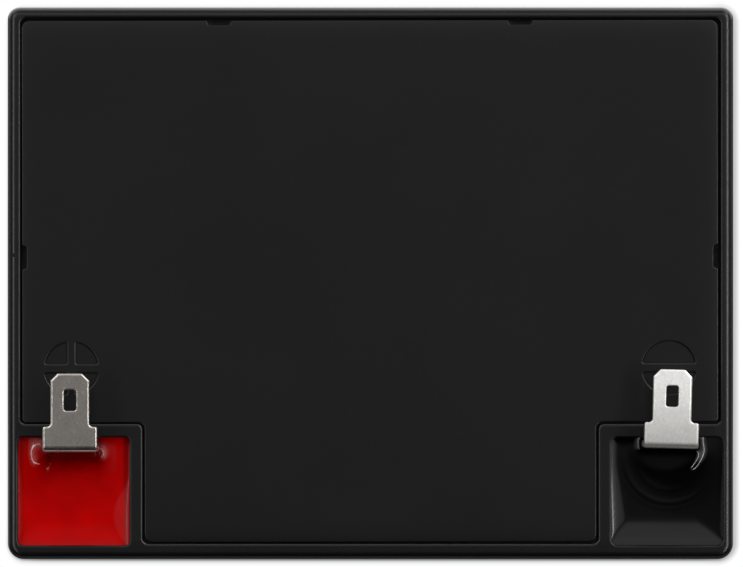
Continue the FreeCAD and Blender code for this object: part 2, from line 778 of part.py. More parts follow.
# --------------------------------------------------------- plates and straps
# Plates stand across the cell, one behind the other; the lugs of one polarity meet
# in a strap. stub says where the strap goes on to the next cell.
def plate_group(label, n, centre, polarity, lug_side, stub, column):
    body = new_body(label)
    if polarity > 0:
        rows = [-pitch, Dim(0, "0"), pitch]
        thick, lug = d.PlateP, d.LugP
        low = d.Floor + d.Mat
    else:
        rows = [k * pitch for k in (-1.5, -0.5, 0.5, 1.5)]
        thick, lug = d.PlateN, d.LugN
        low = d.Floor
    x = lug_side * lug_x
    end = rows[-1] + thick / 2 + (d.StrapOver if polarity > 0 else 0)
    reach = cell_d / 2 - d.StubGap
    y0 = -reach if stub == "front" else -end
    y1 = reach if stub == "rear" else end
    sk = sketch_on(body, "XY_Plane", label + "_strap_outline", d.StrapLowZ)
    add_rect(sk, x - d.StrapWide / 2, x + d.StrapWide / 2, y0, y1)
    f = pad(body, sk, d.StrapTopZ - d.StrapLowZ, label + "_strap")
    if stub is not None:
        sk = sketch_on(body, "XY_Plane", label + "_stub_outline", d.StrapLowZ)
        t, b = d.StubThick, d.StubWide / 2
        if stub == "front":
            add_rect(sk, x - b, x + b, y0, y0 + t)
        elif stub == "rear":
            add_rect(sk, x - b, x + b, y1 - t, y1)
        else:
            far = -column * (cell_w / 2 - d.StubGap)
            add_rect(sk, far, far + column * t, -b, b)
        f = pad(body, sk, d.StubTopZ - d.StrapLowZ, label + "_stub")
    sk = sketch_on(body, "XY_Plane", label + "_lugs_outline", d.StrapLowZ)
    for y in rows:
        add_rect(
            sk, x - d.LugWide / 2, x + d.LugWide / 2, y - lug / 2, y + lug / 2
        )
    f = pad(body, sk, d.StrapLowZ - d.PlateTopZ, label + "_lugs", reversed_=True)
    sk = sketch_on(body, "XY_Plane", label + "_plates_outline", d.PlateTopZ)
    for y in rows:
        add_rect(
            sk, -d.PlateWide / 2, d.PlateWide / 2, y - thick / 2, y + thick / 2
        )
    f = pad(body, sk, d.PlateTopZ - low, label + "_plates", reversed_=True)
    place(body, *centre)
    return body


# per cell: side of the positive lugs and of the negative lugs (outer or inner), and
# where each strap goes
plan = {
    1: ("outer", None, "inner", "rear"),
    2: ("inner", "front", "outer", "rear"),
    3: ("outer", "front", "inner", "side"),
    4: ("inner", "side", "outer", "front"),
    5: ("outer", "rear", "inner", "front"),
    6: ("inner", "rear", "outer", None),
}
for n, (sx, r) in enumerate(order, 1):
    pos_side, pos_stub, neg_side, neg_stub = plan[n]
    centre = (sx * cell_x, r * cell_y, 0)
    plate_group(
        "positive_plates_%d" % n,
        n,
        centre,
        1,
        sx if pos_side == "outer" else -sx,
        pos_stub,
        sx,
    )
    plate_group(
        "negative_plates_%d" % n,
        n,
        centre,
        -1,
        sx if neg_side == "outer" else -sx,
        neg_stub,
        sx,
    )
    # glass mat folded under and up both sides of each positive plate
    for k, letter in ((-1, "a"), (0, "b"), (1, "c")):
        label = "glass_mat_%d%s" % (n, letter)
        body = new_body(label)
        sk = sketch_on(body, "YZ_Plane", label + "_section")
        p, q = d.PlateP / 2, d.PlateP / 2 + d.Mat
        add_poly(
            sk,
            [
                (-q, d.Floor),
                (q, d.Floor),
                (q, d.MatTopZ),
                (p, d.MatTopZ),
                (p, d.Floor + d.Mat),
                (-p, d.Floor + d.Mat),
                (-p, d.MatTopZ),
                (-q, d.MatTopZ),
            ],
        )
        f = pad(body, sk, d.MatWide, label + "_fold", middle=True)
        f = fillet(
            body,
            f,
            0.6,
            lambda e: level(e, d.Floor.value) and e.BoundBox.XLength > 10,
            label + "_fold_edge",
        )
        place(body, sx * cell_x, r * cell_y + k * pitch, 0)

# -------------------------------------------------- links between the cells
link_long = d.PartitionY + 2 * d.StubGap
for n, role, x, y, length in (
    (1, "XZ_Plane", lug_x - cell_x, -cell_y / 2, link_long),
    (2, "XZ_Plane", -d.TabX, cell_y / 2, link_long),
    (3, "YZ_Plane", Dim(0, "0"), cell_y, d.PartitionX + 2 * d.StubGap),
    (4, "XZ_Plane", d.TabX, cell_y / 2, link_long),
    (5, "XZ_Plane", cell_x - lug_x, -cell_y / 2, link_long),
):
    body = new_body("cell_link_%d" % n)
    sk = sketch_on(body, role, "cell_link_%d_outline" % n)
    add_circle(sk, 0, 0, d.LinkRadius)
    f = pad(body, sk, length, "cell_link_%d_plug" % n, middle=True)
    place(body, x, y, d.LinkZ)


# ------------------------------------------------------------------ terminals
# Each tab is bent from sheet: foot on the well's floor, leg, and blade over the
# cover. Its own origin is on the floor of the well, at the front face of the leg.
rise = d.TabTopZ - d.DeckTopZ
for name, sx, front, turn in (
    ("positive", -1, d.TabFrontLeft, None),
    ("negative", 1, d.TabFrontRight, d.TabTurnRight),
):
    body = new_body("terminal_tab_" + name)
    t = d.TabThick
    sk = sketch_on(body, "YZ_Plane", "tab_%s_section" % name)
    add_poly(
        sk,
        [
            (-d.FootEnd, 0),
            (t, 0),
            (t, rise - t),
            (d.TabTip, rise - t),
            (d.TabTip, rise),
            (0, rise),
            (0, t),
            (-d.FootEnd, t),
        ],
    )
    f = pad(body, sk, d.TabBase, "tab_%s_strip" % name, middle=True)

    def across(points):
        def test(e):
            c = e.CenterOfMass
            return e.BoundBox.XLength > 3 and any(
                near(c.y, y) and near(c.z, z) for y, z in points
            )

        return test

    tv, rv = t.value, rise.value
    f = fillet(
        body, f, d.BendOut, across([(tv, 0), (0, rv)]), "tab_%s_bend_outside" % name
    )
    f = fillet(
        body, f, d.BendIn, across([(0, tv), (tv, rv - tv)]), "tab_%s_bend_inside" % name
    )
    # the blade is narrower than the base
    sk = sketch_on(body, "XY_Plane", "tab_%s_sides" % name, rise + 0.2)
    for s in (-1, 1):
        add_rect(
            sk,
            s * d.TabBlade / 2,
            s * (d.TabBase / 2 + 1),
            d.TabShoulder,
            d.TabTip + 1,
        )
    f = pocket(body, sk, t + 0.4, "tab_%s_shoulders" % name)
    bw = d.TabBlade.value / 2
    f = fillet(
        body,
        f,
        d.ShoulderFillet,
        upright_at([(-bw, d.TabShoulder.value), (bw, d.TabShoulder.value)], 0.03),
        "tab_%s_shoulder_roots" % name,
    )
    f = chamfer(
        body,
        f,
        d.TipCut,
        upright_at([(-bw, d.TabTip.value), (bw, d.TabTip.value)], 0.03),
        "tab_%s_tip" % name,
    )
    # corners of the base, beside the shoulders
    f = fillet(
        body,
        f,
        0.3,
        upright_at(
            [
                (-d.TabBase.value / 2, d.TabShoulder.value),
                (d.TabBase.value / 2, d.TabShoulder.value),
            ],
            0.03,
        ),
        "tab_%s_base_corners" % name,
    )
    # foot with a hole for the post
    sk = sketch_on(body, "XY_Plane", "tab_%s_foot_hole" % name, t)
    add_circle(sk, 0, -d.HoleBack, d.PostNeck)
    f = pocket(body, sk, t + 0.1, "tab_%s_foot_bore" % name)
    f = fillet(
        body,
        f,
        d.FootRound,
        upright_at(
            [
                (-d.TabBase.value / 2, -d.FootEnd.value),
                (d.TabBase.value / 2, -d.FootEnd.value),
            ],
            0.03,
        ),
        "tab_%s_foot_end" % name,
    )
    # rolled edges round the blade, above and below
    f = fillet(
        body,
        f,
        d.Coin,
        lambda e: (level(e, rv) or level(e, rv - tv))
        and e.CenterOfMass.y > d.TabShoulder.value - 0.1,
        "tab_%s_rolled_edges" % name,
    )
    # slot for the lance of a push-on connector
    sk = sketch_on(body, "XY_Plane", "tab_%s_slot_outline" % name, rise + 0.2)
    add_rect(
        sk,
        -d.SlotWide / 2,
        d.SlotWide / 2,
        d.TabTip - d.SlotBack - d.SlotLong,
        d.TabTip - d.SlotBack,
    )
    f = pocket(body, sk, t + 0.4, "tab_%s_slot" % name)
    y1 = (d.TabTip - d.SlotBack).value
    y0 = (d.TabTip - d.SlotBack - d.SlotLong).value
    sw = d.SlotWide.value / 2
    f = fillet(
        body,
        f,
        d.SlotCorner,
        upright_at([(-sw, y0), (sw, y0), (-sw, y1), (sw, y1)], 0.03),
        "tab_%s_slot_corners" % name,
    )
    f = fillet(
        body,
        f,
        d.SlotRim,
        lambda e: level(e, rv)
        and abs(e.CenterOfMass.x) < sw + 0.05
        and y0 - 0.05 < e.CenterOfMass.y < y1 + 0.05,
        "tab_%s_slot_rim" % name,
    )
    place(body, sx * d.TabX, -front, d.DeckTopZ, turn)
    tab = body

    # lead post: stands on the strap, passes the deck and the seal, and is burned
    # over the tab's foot. Same origin and turn as the tab.
    body = new_body("terminal_post_" + name)
    sk = sketch_on(body, "XZ_Plane", "post_%s_section" % name, d.HoleBack)
    low = d.StrapTopZ - d.DeckTopZ
    add_poly(
        sk,
        [
            (0, low),
            (d.PostBase, low),
            (d.PostBase, d.JointZ - d.DeckTopZ - 1.0),
            (d.PostShank, d.JointZ - d.DeckTopZ - 0.4),
            (d.PostShank, 0),
            (d.PostNeck, 0),
            (d.PostNeck, t),
            (d.PostHead, t),
            (d.PostHead, t + d.PostHeadHigh - 0.6),
            (d.PostHead - 0.8, t + d.PostHeadHigh),
            (0, t + d.PostHeadHigh),
        ],
    )
    rev = body.newObject("PartDesign::Revolution", "post_%s_turned" % name)
    rev.Profile = sk
    rev.ReferenceAxis = (sk, ["V_Axis"])
    rev.Angle = 360
    doc.recompute()
    check(rev)
    place(body, sx * d.TabX, -front, d.DeckTopZ, turn)
    post = body

    # rubber ring in its seat
    ring = doc.addObject("Part::Torus", "Seal_" + name)
    ring.Label = "post_seal_" + name
    ring.setExpression("Radius1", ((d.PostShank + d.SeatRadius) / 2).text)
    ring.setExpression("Radius2", d.SealTube.text)
    parts.append(ring)
    if sx < 0:
        place(
            ring,
            -d.TabX,
            -front - d.HoleBack,
            d.DeckTopZ - d.SeatDeep + d.SealTube + 0.01,
        )
    else:
        place(
            ring,
            d.PostRightX,
            -d.PostRightY,
            d.DeckTopZ - d.SeatDeep + d.SealTube + 0.01,
        )
    doc.recompute()

    # resin that fills the well round the foot, the post's head and the leg
    well = doc.addObject("PartDesign::Body", "Fill_" + name)
    well.Label = "well_space_" + name
    sk = sketch_on(well, "XY_Plane", "fill_%s_outline" % name, d.DeckTopZ)
    add_rect(sk, sx * d.WellInner, sx * d.WellOuter, -d.WellFront, -d.WellRear)
    f = pad(well, sk, d.PottingTopZ - d.DeckTopZ, "fill_%s_block" % name)
    corners = [
        (sx * x.value, -y.value)
        for x in (d.WellInner, d.WellOuter)
        for y in (d.WellFront, d.WellRear)
    ]
    f = fillet(
        well,
        f,
        d.WellCornerLeft if sx < 0 else d.WellCornerRight,
        upright_at(corners, 0.05),
        "fill_%s_corners" % name,
    )
    metal = doc.addObject("Part::MultiFuse", "Metal_" + name)
    metal.Shapes = [tab, post]
    potting = doc.addObject("Part::Cut", "Potting_" + name)
    potting.Base = well
    potting.Tool = metal
    potting.Label = "potting_" + name
    doc.recompute()
    parts.append(potting)

# ------------------------------------------------------------ check and write
doc.recompute()
for obj in doc.Objects:
    check(obj)
seen = set()
for obj in parts:
    shape = obj.Shape
    if shape.isNull() or not shape.isValid() or shape.Volume <= 0:
        raise RuntimeError(obj.Label + " has no valid solid")
    if len(shape.Solids) != 1:
        raise RuntimeError("%s has %d solids" % (obj.Label, len(shape.Solids)))
    if obj.Label in seen:
        raise RuntimeError("two parts are named " + obj.Label)
    seen.add(obj.Label)
for obj in parts:
    shape = obj.Shape
    shape.exportStep("parts/%s.step" % obj.Label)
    box = shape.BoundBox
    print(
        "%-24s %9.1f mm3  x %7.2f %7.2f  y %7.2f %7.2f  z %7.2f %7.2f"
        % (
            obj.Label,
            shape.Volume,
            box.XMin,
            box.XMax,
            box.YMin,
            box.YMax,
            box.ZMin,
            box.ZMax,
        )
    )
print(len(parts), "parts written")
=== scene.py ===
import math

import bpy
import numpy as np
from mathutils import Matrix, Vector


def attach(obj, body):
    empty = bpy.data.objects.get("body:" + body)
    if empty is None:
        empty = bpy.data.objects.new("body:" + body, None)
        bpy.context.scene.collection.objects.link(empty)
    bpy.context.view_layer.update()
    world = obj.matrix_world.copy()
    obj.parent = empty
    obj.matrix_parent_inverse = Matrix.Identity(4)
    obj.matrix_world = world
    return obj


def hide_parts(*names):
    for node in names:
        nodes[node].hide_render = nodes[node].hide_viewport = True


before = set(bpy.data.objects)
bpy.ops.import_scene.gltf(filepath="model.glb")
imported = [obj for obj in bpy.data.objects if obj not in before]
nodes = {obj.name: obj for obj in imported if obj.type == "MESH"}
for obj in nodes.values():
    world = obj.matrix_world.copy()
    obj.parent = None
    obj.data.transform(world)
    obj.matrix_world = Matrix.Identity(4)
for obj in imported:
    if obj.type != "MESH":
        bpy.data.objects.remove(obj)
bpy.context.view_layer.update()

# Sealed lead acid battery seen from straight above. Metres, +Z up, +Y to the rear,
# terminals at the front, positive on the left.

scene = bpy.context.scene
MM = 0.001


# ------------------------------------------------------------------ node helpers
class Nodes:
    """A material or world node tree with short calls."""

    def __init__(self, tree):
        self.tree = tree
        for n in list(tree.nodes):
            tree.nodes.remove(n)

    def add(self, kind, **values):
        n = self.tree.nodes.new(kind)
        for k, v in values.items():
            setattr(n, k, v)
        return n

    def link(self, a, b):
        self.tree.links.new(a, b)

    def put(self, socket, value):
        if isinstance(value, bpy.types.NodeSocket):
            self.link(value, socket)
        else:
            socket.default_value = value

    def math(self, op, a, b=None, c=None, clamp=False):
        n = self.add("ShaderNodeMath", operation=op, use_clamp=clamp)
        for i, v in enumerate((a, b, c)):
            if v is not None:
                self.put(n.inputs[i], v)
        return n.outputs[0]

    def remap(self, value, a0, a1, b0, b1, smooth=True):
        n = self.add(
            "ShaderNodeMapRange",
            clamp=True,
            interpolation_type="SMOOTHSTEP" if smooth else "LINEAR",
        )
        self.put(n.inputs["Value"], value)
        for name, v in (
            ("From Min", a0),
            ("From Max", a1),
            ("To Min", b0),
            ("To Max", b1),
        ):
            n.inputs[name].default_value = v
        return n.outputs["Result"]

    def place(self, scale=(1, 1, 1), turn=(0, 0, 0), shift=(0, 0, 0)):
        """Object coordinates, in metres, scaled for a texture."""
        c = self.add("ShaderNodeTexCoord")
        m = self.add("ShaderNodeMapping")
        m.inputs["Scale"].default_value = scale
        m.inputs["Rotation"].default_value = turn
        m.inputs["Location"].default_value = shift
        self.link(c.outputs["Object"], m.inputs["Vector"])
        return m.outputs["Vector"]

    def noise(self, vector, scale, detail=2.0, rough=0.5, distort=0.0):
        n = self.add("ShaderNodeTexNoise")
        n.inputs["Scale"].default_value = scale
        n.inputs["Detail"].default_value = detail
        n.inputs["Roughness"].default_value = rough
        n.inputs["Distortion"].default_value = distort
        self.link(vector, n.inputs["Vector"])
        return n.outputs["Fac"]

    def cells(self, vector, scale, feature="F1"):
        n = self.add("ShaderNodeTexVoronoi", feature=feature)
        n.inputs["Scale"].default_value = scale
        self.link(vector, n.inputs["Vector"])
        return n.outputs["Distance"]

    def ramp(self, value, stops):
        n = self.add("ShaderNodeValToRGB")
        cr = n.color_ramp
        while len(cr.elements) > 1:
            cr.elements.remove(cr.elements[-1])
        cr.elements[0].position = stops[0][0]
        cr.elements[0].color = (*stops[0][1], 1)
        for p, col in stops[1:]:
            e = cr.elements.new(p)
            e.color = (*col, 1)
        self.put(n.inputs["Fac"], value)
        return n.outputs["Color"]

    def mix(self, fac, a, b, mode="MIX"):
        n = self.add("ShaderNodeMix", data_type="RGBA", blend_type=mode)
        self.put(n.inputs["Factor"], fac)
        for name, v in (("A", a), ("B", b)):
            s = [i for i in n.inputs if i.name == name and i.type == "RGBA"][0]
            self.put(s, v if isinstance(v, bpy.types.NodeSocket) else (*v, 1))
        return [o for o in n.outputs if o.type == "RGBA"][0]

    def bump(self, height, depth, strength=1.0, normal=None):
        n = self.add("ShaderNodeBump")
        n.inputs["Strength"].default_value = strength
        n.inputs["Distance"].default_value = depth
        self.link(height, n.inputs["Height"])
        if normal is not None:
            self.link(normal, n.inputs["Normal"])
        return n.outputs["Normal"]

    def surface(self, **sockets):
        p = self.add("ShaderNodeBsdfPrincipled")
        out = self.add("ShaderNodeOutputMaterial")
        for name, v in sockets.items():
            if name == "Base Color" and not isinstance(v, bpy.types.NodeSocket):
                v = (*v, 1)
            self.put(p.inputs[name], v)
        self.link(p.outputs["BSDF"], out.inputs["Surface"])
        return p


def material(name):
    m = bpy.data.materials.new(name)
    m.use_nodes = True
    return m, Nodes(m.node_tree)


# ------------------------------------------------------------------ materials
def edge_fall(k, kind):
    """Height in millimetres of the soft fall of a moulding towards its edges."""
    c = k.add("ShaderNodeTexCoord")
    split = k.add("ShaderNodeSeparateXYZ")
    k.link(c.outputs["Object"], split.inputs["Vector"])
    x = k.math("MULTIPLY", split.outputs["X"], 1000.0)
    y = k.math("MULTIPLY", split.outputs["Y"], 1000.0)
    side = k.math("ABSOLUTE", x)
    if kind == "lid":
        inward = k.math(
            "MINIMUM",
            k.math("SUBTRACT", 45.125, side),
            k.math("SUBTRACT", 34.325, k.math("ABSOLUTE", y)),
        )
        fall = k.math("MAXIMUM", k.math("SUBTRACT", 2.3, inward), 0.0)
        return k.math("MULTIPLY", fall, -0.025)

    def dip(distance, reach):
        d = k.math("MAXIMUM", distance, 0.0)
        return k.math("EXPONENT", k.math("MULTIPLY", d, -1.0 / reach))

    rear = dip(k.math("SUBTRACT", 32.75, y), 1.0)
    sides = dip(k.math("SUBTRACT", 43.3, side), 1.0)
    front = dip(k.math("ADD", y, 32.2), 0.9)
    total = k.math("ADD", k.math("ADD", rear, sides), front)
    return k.math("MULTIPLY", total, -0.075)


def moulded(name, dark, light, rough, level, grain, depth, seed, kind=None, uneven=0.0):
    """Black moulded plastic: fine spark-eroded grain with a soft, even sheen."""
    m, k = material(name)
    at = k.place(shift=(seed, seed * 0.7, seed * 0.3))
    broad = k.noise(at, 45, 3.0, 0.5)
    fine = k.noise(at, grain, 2.0, 0.6)
    pits = k.cells(at, grain * 0.75)
    colour = k.ramp(
        k.math("ADD", k.math("MULTIPLY", broad, 0.55), k.math("MULTIPLY", fine, 0.45)),
        [(0.32, dark), (0.68, light)],
    )
    normal = None
    spread = 0.025 if kind is None else 0.006
    if kind == "lid":
        # the outer walls have the container's coarser, paler grain
        c = k.add("ShaderNodeTexCoord")
        split = k.add("ShaderNodeSeparateXYZ")
        k.link(c.outputs["Object"], split.inputs["Vector"])
        out_x = k.math("SUBTRACT", k.math("ABSOLUTE", split.outputs["X"]), 0.0449)
        out_y = k.math("SUBTRACT", k.math("ABSOLUTE", split.outputs["Y"]), 0.0341)
        outer = k.math("GREATER_THAN", k.math("MAXIMUM", out_x, out_y), 0.0)
        under = k.remap(split.outputs["Z"], 0.0986, 0.0993, 1.0, 0.0)
        wall = k.ramp(fine, [(0.32, (0.014, 0.014, 0.0145)), (0.68, (0.024, 0.024, 0.0245))])
        colour = k.mix(k.math("MULTIPLY", outer, under), colour, wall)
    if kind is not None:
        normal = k.bump(edge_fall(k, kind), 0.001, 1.0)
    if uneven > 0:
        wave = k.noise(k.place(shift=(seed, 0, 0)), 620, 2.0, 0.5)
        normal = k.bump(wave, uneven, 1.0, normal)
    height = k.math("ADD", fine, k.math("MULTIPLY", pits, 0.6))
    k.surface(
        **{
            "Base Color": colour,
            "Roughness": k.remap(broad, 0.3, 0.7, rough - spread, rough + spread),
            "Specular IOR Level": level,
            "Normal": k.bump(height, depth, 1.0, normal),
        }
    )
    return m


def tinned(name, colour_a, colour_b, rough_a, rough_b, seed, bend_darkening):
    """Tin plated brass strip: rolling marks along the strip, dull and bright spots,
    and its colour darker towards the bend by the amount given."""
    m, k = material(name)
    at = k.place(shift=(seed, seed, seed))
    cloud = k.noise(at, 520, 4.0, 0.6)
    spots = k.cells(k.place(shift=(seed * 2, 0, seed)), 900)
    rolled = k.noise(
        k.place(scale=(1, 0.045, 0.045), shift=(seed, 0, 0)), 9000, 3.0, 0.6
    )
    blend = k.math(
        "ADD", k.math("MULTIPLY", cloud, 0.7), k.math("MULTIPLY", rolled, 0.3)
    )
    c = k.add("ShaderNodeTexCoord")
    split = k.add("ShaderNodeSeparateXYZ")
    k.link(c.outputs["Object"], split.inputs["Vector"])
    # colour darker towards the bend, by the amount given
    darker_towards_bend = k.remap(split.outputs["Y"], -0.0195, -0.0125, 1.0 - bend_darkening, 1.0, smooth=False)
    speckle = k.noise(k.place(scale=(1, 0.6, 1), shift=(seed, 0, seed)), 5200, 2.0, 0.6)
    tone = k.math("ADD", k.math("MULTIPLY", blend, 0.6), k.math("MULTIPLY", speckle, 0.4))
    clean = k.ramp(tone, [(0.36, colour_a), (0.62, colour_b)])
    colour = k.mix(1.0, clean, darker_towards_bend, "MULTIPLY")
    dull = k.remap(spots, 0.05, 0.3, 1.0, 0.0)
    rough = k.math(
        "ADD",
        k.remap(blend, 0.35, 0.65, rough_b, rough_a),
        k.math("MULTIPLY", dull, 0.03),
    )
    height = k.math("ADD", rolled, k.math("MULTIPLY", cloud, 0.7))
    height = k.math("ADD", height, k.math("MULTIPLY", speckle, 0.5))
    k.surface(
        **{
            "Base Color": colour,
            "Metallic": 1.0,
            "Roughness": rough,
            "Normal": k.bump(height, 0.0000035, 0.8),
        }
    )
    return m


def resin(name, deep, bright, rough, level, seed, leg, wall, film, skin_wet):
    """Cast potting resin: glossy, slightly cloudy in depth, a soft skin, painted shade in
    front of the terminal's leg and a little painted light further from it, with a duller
    film up the wall at x = wall and a wet looking skin beside the leg."""
    m, k = material(name)
    at = k.place(shift=(seed, seed * 0.4, 0))
    cloud = k.noise(at, 260, 3.0, 0.55)
    skin = k.noise(at, 1500, 2.0, 0.5)
    c = k.add("ShaderNodeTexCoord")
    split = k.add("ShaderNodeSeparateXYZ")
    k.link(c.outputs["Object"], split.inputs["Vector"])
    x = k.math("MULTIPLY", split.outputs["X"], 1000.0)
    y = k.math("MULTIPLY", split.outputs["Y"], 1000.0)
    over = k.math("SUBTRACT", k.math("ABSOLUTE", k.math("SUBTRACT", x, leg[0])), 3.1)
    across = k.math("MULTIPLY", k.math("MAXIMUM", over, 0.0), 2.4)
    ahead = k.math("MAXIMUM", k.math("SUBTRACT", leg[1], y), 0.0)
    squares = k.math("ADD", k.math("POWER", across, 2.0), k.math("POWER", ahead, 2.0))
    away = k.math("SQRT", squares)
    waver = k.math("MULTIPLY", k.math("SUBTRACT", cloud, 0.5), 1.6)
    # painted shade: darker in front of the leg, where the leg keeps the light off, and painted light,
    # a little lighter than the base, further from the leg
    painted_leg_shade = k.ramp(
        k.math("DIVIDE", k.math("ADD", away, waver), 9.0),
        [
            (0.0, (0.2, 0.2, 0.2)),
            (0.1, (0.3, 0.3, 0.3)),
            (0.2, (0.52, 0.52, 0.52)),
            (0.33, (0.75, 0.75, 0.75)),
            (0.5, (0.9, 0.9, 0.9)),
            (0.75, (1.0, 1.0, 1.0)),
            (1.0, (1.12, 1.12, 1.12)),
        ],
    )
    colour = k.mix(1.0, k.ramp(cloud, [(0.3, deep), (0.7, bright)]), painted_leg_shade, "MULTIPLY")
    off_wall = k.math("ABSOLUTE", k.math("SUBTRACT", x, wall))
    dull = k.math(
        "MULTIPLY", k.math("EXPONENT", k.math("DIVIDE", off_wall, -film[1])), film[0]
    )
    past = k.math("SUBTRACT", k.math("ABSOLUTE", k.math("SUBTRACT", x, leg[0])), 3.375)
    wet = k.math(
        "MULTIPLY", k.remap(past, 0.2, 0.6, 0.0, skin_wet), k.remap(past, 1.8, 2.4, 1.0, 0.0)
    )
    wet = k.math("MULTIPLY", wet, k.remap(ahead, 2.0, 3.0, 1.0, 0.0))
    gloss = k.remap(skin, 0.3, 0.7, rough * 0.7, rough * 1.3)
    k.surface(
        **{
            "Base Color": colour,
            "Roughness": k.math("ADD", gloss, dull),
            "Specular IOR Level": level,
            "Coat Weight": wet,
            "Coat Roughness": 0.06,
            "Normal": k.bump(skin, 0.0000012, 0.6),
        }
    )
    return m


def cast_lead(name):
    m, k = material(name)
    at = k.place()
    grain = k.noise(at, 700, 4.0, 0.6)
    k.surface(
        **{
            "Base Color": k.ramp(
                grain, [(0.3, (0.16, 0.165, 0.18)), (0.7, (0.34, 0.345, 0.36))]
            ),
            "Metallic": 0.85,
            "Roughness": k.remap(grain, 0.3, 0.7, 0.62, 0.45),
            "Normal": k.bump(grain, 0.00002, 0.6),
        }
    )
    return m


def paste(name, dark, light):
    """Pasted plate: gritty, with the shadow of its grid."""
    m, k = material(name)
    at = k.place()
    grit = k.noise(at, 2600, 3.0, 0.65)
    wires = k.add("ShaderNodeTexWave", wave_type="BANDS", bands_direction="Z")
    wires.inputs["Scale"].default_value = 32
    k.link(at, wires.inputs["Vector"])
    line = k.remap(wires.outputs["Fac"], 0.86, 0.98, 0.0, 0.5)
    tone = k.math("SUBTRACT", grit, k.math("MULTIPLY", line, 0.3))
    k.surface(
        **{
            "Base Color": k.ramp(tone, [(0.25, dark), (0.7, light)]),
            "Roughness": 0.92,
            "Normal": k.bump(grit, 0.00004, 0.8),
        }
    )
    return m


def glass_felt(name):
    m, k = material(name)
    a = k.noise(k.place(scale=(1, 1, 0.12)), 5200, 2.0, 0.6)
    b = k.noise(k.place(scale=(0.12, 1, 1), turn=(0, 0.6, 0)), 5200, 2.0, 0.6)
    felt = k.math("MAXIMUM", a, b)
    k.surface(
        **{
            "Base Color": k.ramp(
                felt, [(0.4, (0.7, 0.7, 0.68)), (0.7, (0.86, 0.86, 0.84))]
            ),
            "Roughness": 0.95,
            "Sheen Weight": 0.2,
            "Normal": k.bump(felt, 0.00006, 0.7),
        }
    )
    return m


def rubber(name):
    m, k = material(name)
    at = k.place()
    bloom = k.noise(at, 300, 4.0, 0.6)
    fine = k.noise(at, 5000, 2.0, 0.5)
    k.surface(
        **{
            "Base Color": k.ramp(
                bloom, [(0.35, (0.018, 0.018, 0.018)), (0.75, (0.04, 0.04, 0.041))]
            ),
            "Roughness": k.remap(bloom, 0.3, 0.7, 0.62, 0.78),
            "Normal": k.bump(fine, 0.00001, 0.5),
        }
    )
    return m


lid_black = moulded(
    "lid_plastic", (0.0015, 0.0015, 0.0016), (0.0022, 0.0022, 0.0023), 0.27, 0.42,
    5200, 0.000002, 0.11, "lid", 0.000012,
)
cover_black = moulded(
    "cover_plastic", (0.0016, 0.0016, 0.0016), (0.0022, 0.0022, 0.0022), 0.275, 0.42,
    6400, 0.000002, 0.37, "cover",
)
case_black = moulded(
    "container_plastic", (0.014, 0.014, 0.0145), (0.024, 0.024, 0.0245), 0.4, 0.45,
    3000, 0.000014, 0.71,
)
# both tabs are the same tinned brass: the left copy's colour is painted darker as painted shade, the
# right copy's brighter as painted light
tin_left_painted_shade = tinned(
    "tinned_brass_left_painted_shade", (0.44, 0.405, 0.375), (0.62, 0.575, 0.535), 0.22, 0.27, 0.2, 0.0
)
tin_right_painted_light = tinned(
    "tinned_brass_right_painted_light", (0.76, 0.75, 0.72), (1.0, 0.99, 0.96), 0.42, 0.47, 0.6, 0.42
)
red = resin(
    "red_resin", (0.35, 0.0001, 0.0001), (0.41, 0.0002, 0.0001), 0.08, 0.1, 0.0,
    (-37.1, -20.9), -29.95, (0.08, 0.6), 0.5,
)
black = resin(
    "black_resin", (0.0014, 0.0014, 0.0014), (0.002, 0.002, 0.002), 0.07, 0.3, 0.5,
    (37.1, -20.4), 29.95, (0.12, 0.6), 0.0,
)
lead = cast_lead("lead")
brown = paste("positive_plate", (0.045, 0.022, 0.015), (0.13, 0.07, 0.05))
grey = paste("negative_plate", (0.12, 0.125, 0.135), (0.26, 0.27, 0.29))
felt = glass_felt("glass_mat")
soft = rubber("rubber")

finish = {
    "container": case_black,
    "lid": lid_black,
    "vent_cover": cover_black,
    "terminal_tab_positive": tin_left_painted_shade,
    "terminal_tab_negative": tin_right_painted_light,
    "potting_positive": red,
    "potting_negative": black,
}
starts = {
    "vent_valve": soft,
    "post_seal": soft,
    "terminal_post": lead,
    "cell_link": lead,
    "positive_plates": brown,
    "negative_plates": grey,
    "glass_mat": felt,
}
for name, obj in nodes.items():
    made = finish.get(name)
    if made is None:
        made = next(m for s, m in starts.items() if name.startswith(s))
    obj.data.materials.clear()
    obj.data.materials.append(made)


# --------------------------------------------------------------------- resin
# The resin has crept up the walls of its well and up the terminal's leg, and sank in
# the middle as it set. Millimetres here, in the frame of the whole object.
FLOOR_Z, FOOT_Z, HEAD_Z = 93.5, 94.3, 95.6
LEG_WIDE, LEG_THICK = 6.75, 0.8
WALL_IN, WALL_OUT, WALL_FRONT, WALL_REAR = 29.95, 43.8, -32.6, -19.15


def steps(a, b, fine, coarse, grow=0.16):
    """Numbers from a to b, close together at both ends."""
    n = 4000
    s = np.linspace(a, b, n)
    near = np.minimum(s - a, b - s)
    size = np.minimum(fine + grow * near, coarse)
    area = np.concatenate([[0], np.cumsum((1 / size[1:] + 1 / size[:-1]) / 2)])
    area *= (b - a) / (n - 1)
    count = max(2, int(round(area[-1])))
    return np.interp(np.linspace(0, area[-1], count + 1), area, s)


